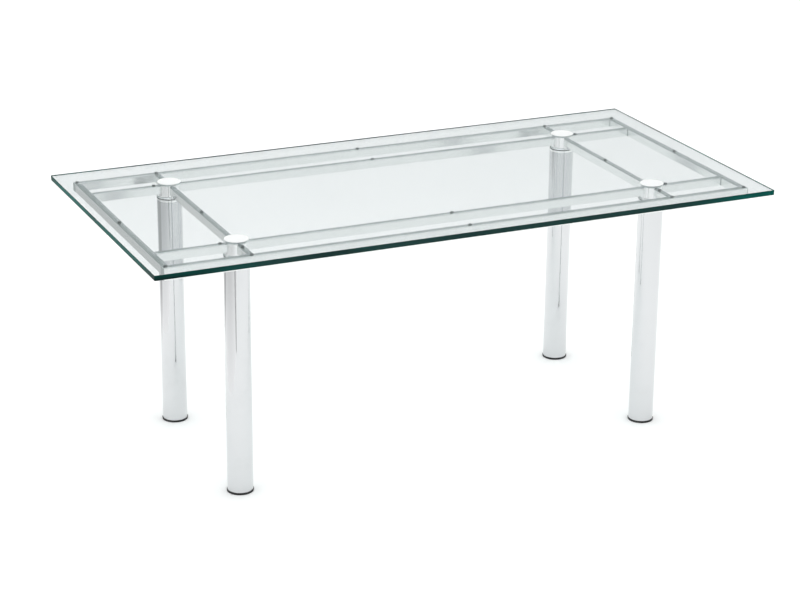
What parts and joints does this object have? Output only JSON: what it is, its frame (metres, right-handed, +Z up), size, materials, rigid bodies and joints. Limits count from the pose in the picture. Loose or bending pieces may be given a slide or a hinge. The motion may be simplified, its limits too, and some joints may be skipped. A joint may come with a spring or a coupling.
{
  "type": "extendable glass dining table",
  "caption": "Glass-topped dining table on chromed tube legs with a double rectangular steel underframe whose ends pull out to carry extension leaves.",
  "frame": {"origin": "on the floor, under the centre of the table", "axes": "+Z up, +X along the table's length to the right, +Y across it to the back"},
  "size_m": [1.9, 0.95, 0.7525],
  "materials": {
    "clear_glass": "clear float glass with a polished green edge",
    "chrome": "mirror chrome",
    "satin_steel": "satin, faintly brushed along the bar",
    "bright_steel": "bright drawn bar",
    "zinc_steel": "bright zinc plate",
    "black_plastic": "black moulded, fine grain",
    "grey_plastic": "dark grey moulded",
    "clear_plastic": "translucent grey",
    "rubber": "dark soft rubber"
  },
  "bodies": {
    "table": {"back_inner_rail": "satin_steel", "back_left_crossbar_stub": "satin_steel", "back_left_leg_cap": "chrome", "back_left_leg_collar": "chrome", "back_left_leg_head": "chrome", "back_left_leg_tube": "chrome", "back_right_crossbar_stub": "satin_steel", "back_right_leg_cap": "chrome", "back_right_leg_collar": "chrome", "back_right_leg_head": "chrome", "back_right_leg_tube": "chrome", "back_side_rail": "satin_steel", "cap_screws": "zinc_steel", "frame_pads": "rubber", "front_inner_rail": "satin_steel", "front_left_crossbar_stub": "satin_steel", "front_left_leg_cap": "chrome", "front_left_leg_collar": "chrome", "front_left_leg_head": "chrome", "front_left_leg_tube": "chrome", "front_right_crossbar_stub": "satin_steel", "front_right_leg_cap": "chrome", "front_right_leg_collar": "chrome", "front_right_leg_head": "chrome", "front_right_leg_tube": "chrome", "front_side_rail": "satin_steel", "gasket_rings": "rubber", "glass_bushes": "clear_plastic", "glass_top": "clear_glass", "head_washers": "clear_plastic", "left_crossbar": "satin_steel", "leg_bottom_plugs": "black_plastic", "leg_studs": "zinc_steel", "rail_guides": "grey_plastic", "right_crossbar": "satin_steel", "side_rail_plugs": "grey_plastic"},
    "left_end_frame": {"left_end_rail": "satin_steel", "left_end_rail_plugs": "grey_plastic", "front_left_extension_arm": "bright_steel", "back_left_extension_arm": "bright_steel", "left_arm_screws": "zinc_steel", "left_arm_sliders": "grey_plastic", "left_end_pad": "rubber"},
    "right_end_frame": {"right_end_rail": "satin_steel", "right_end_rail_plugs": "grey_plastic", "front_right_extension_arm": "bright_steel", "back_right_extension_arm": "bright_steel", "right_arm_screws": "zinc_steel", "right_arm_sliders": "grey_plastic", "right_end_pad": "rubber"},
    "front_left_levelling_foot": {"front_left_foot": "black_plastic", "front_left_foot_stud": "zinc_steel"},
    "front_right_levelling_foot": {"front_right_foot": "black_plastic", "front_right_foot_stud": "zinc_steel"},
    "back_left_levelling_foot": {"back_left_foot": "black_plastic", "back_left_foot_stud": "zinc_steel"},
    "back_right_levelling_foot": {"back_right_foot": "black_plastic", "back_right_foot_stud": "zinc_steel"}
  },
  "joints": [
    {"name": "left_pull_out", "type": "slide", "parent": "table", "child": "left_end_frame", "axis": [-1, 0, 0], "range_m": [0, 0.45]},
    {"name": "right_pull_out", "type": "slide", "parent": "table", "child": "right_end_frame", "axis": [1, 0, 0], "range_m": [0, 0.45]},
    {"name": "front_left_foot_level", "type": "slide", "parent": "table", "child": "front_left_levelling_foot", "axis": [0, 0, -1], "range_m": [0, 0.012]},
    {"name": "front_right_foot_level", "type": "slide", "parent": "table", "child": "front_right_levelling_foot", "axis": [0, 0, -1], "range_m": [0, 0.012]},
    {"name": "back_left_foot_level", "type": "slide", "parent": "table", "child": "back_left_levelling_foot", "axis": [0, 0, -1], "range_m": [0, 0.012]},
    {"name": "back_right_foot_level", "type": "slide", "parent": "table", "child": "back_right_levelling_foot", "axis": [0, 0, -1], "range_m": [0, 0.012]}
  ]
}
